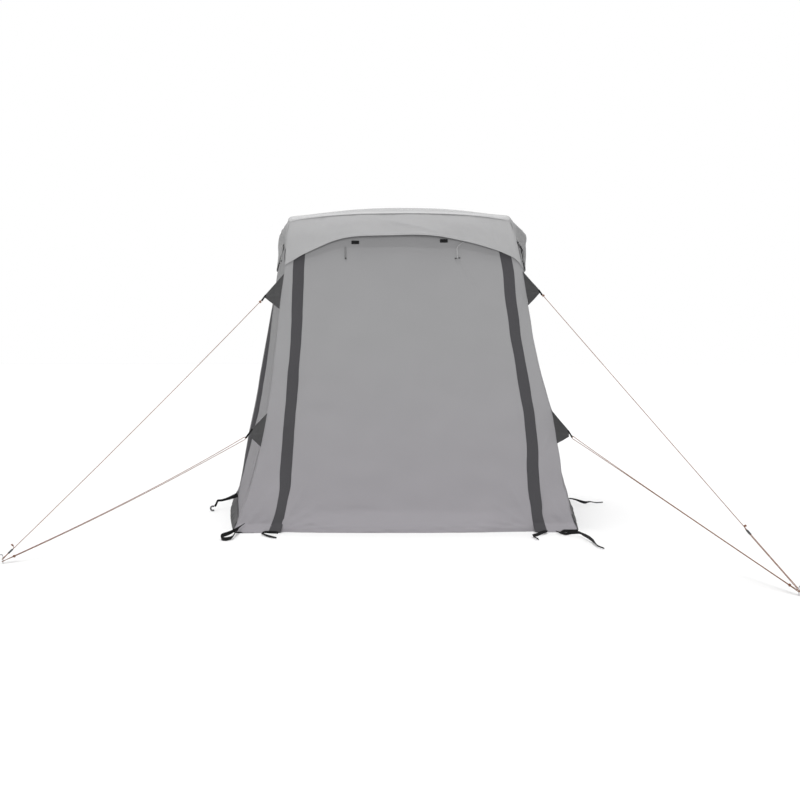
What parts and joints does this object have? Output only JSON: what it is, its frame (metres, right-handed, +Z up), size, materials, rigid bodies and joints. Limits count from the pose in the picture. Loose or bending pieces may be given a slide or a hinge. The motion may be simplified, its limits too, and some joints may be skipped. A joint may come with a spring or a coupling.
{
  "type": "camping shelter",
  "caption": "Free-standing four-sided cloth camping shelter with zip-out panels, hooded eaves, a bowed roof and guy lines pegged out at the front.",
  "frame": {"origin": "middle of the front hem at ground level, in the middle of the cloth's thickness", "axes": "+X to the right seen from the front, +Y from the front hem to the rear hem, +Z up"},
  "size_m": [4.4156, 3.8169, 2.218],
  "materials": {
    "grey_cloth": "matt coated plain-weave tent cloth, mid grey",
    "roof_cloth": "matt coated plain-weave tent cloth, mid grey",
    "dark_cloth": "charcoal reinforced cloth, matt",
    "skirt_cloth": "dark coated groundsheet cloth, slight sheen",
    "black_webbing": "black woven webbing",
    "orange_rope": "braided orange guy rope",
    "black_plastic": "moulded black plastic",
    "steel_tube": "galvanised steel tube",
    "peg_steel": "plain steel rod"
  },
  "bodies": {
    "root": {"front_door_panel": "grey_cloth", "front_frame_pole": "steel_tube", "front_hood": "grey_cloth", "front_left_corner_strap": "black_webbing", "front_left_corner_wall": "grey_cloth", "front_left_seam_strap": "black_webbing", "front_right_corner_strap": "black_webbing", "front_right_corner_wall": "grey_cloth", "front_right_seam_strap": "black_webbing", "front_wall_left_zip_cover": "dark_cloth", "front_wall_right_zip_cover": "dark_cloth", "left_door_panel": "grey_cloth", "left_eave_pole": "steel_tube", "left_hood": "grey_cloth", "left_mud_skirt": "skirt_cloth", "left_peg": "peg_steel", "left_side_strap": "black_webbing", "left_wall_front_zip_cover": "dark_cloth", "left_wall_rear_zip_cover": "dark_cloth", "lower_left_guy_line": "orange_rope", "lower_left_guy_tab": "dark_cloth", "lower_right_guy_line": "orange_rope", "lower_right_guy_tab": "dark_cloth", "rear_door_panel": "grey_cloth", "rear_frame_pole": "steel_tube", "rear_hood": "grey_cloth", "rear_left_corner_wall": "grey_cloth", "rear_right_corner_wall": "grey_cloth", "rear_wall_left_zip_cover": "dark_cloth", "rear_wall_right_zip_cover": "dark_cloth", "right_door_panel": "grey_cloth", "right_eave_pole": "steel_tube", "right_hood": "grey_cloth", "right_mud_skirt": "skirt_cloth", "right_peg": "peg_steel", "right_side_strap": "black_webbing", "right_wall_front_zip_cover": "dark_cloth", "right_wall_rear_zip_cover": "dark_cloth", "roof": "roof_cloth", "roof_bow_pole": "steel_tube", "upper_left_guy_line": "orange_rope", "upper_left_guy_slider": "black_plastic", "upper_left_guy_tab": "dark_cloth", "upper_right_guy_line": "orange_rope", "upper_right_guy_slider": "black_plastic", "upper_right_guy_tab": "dark_cloth"}
  },
  "joints": []
}
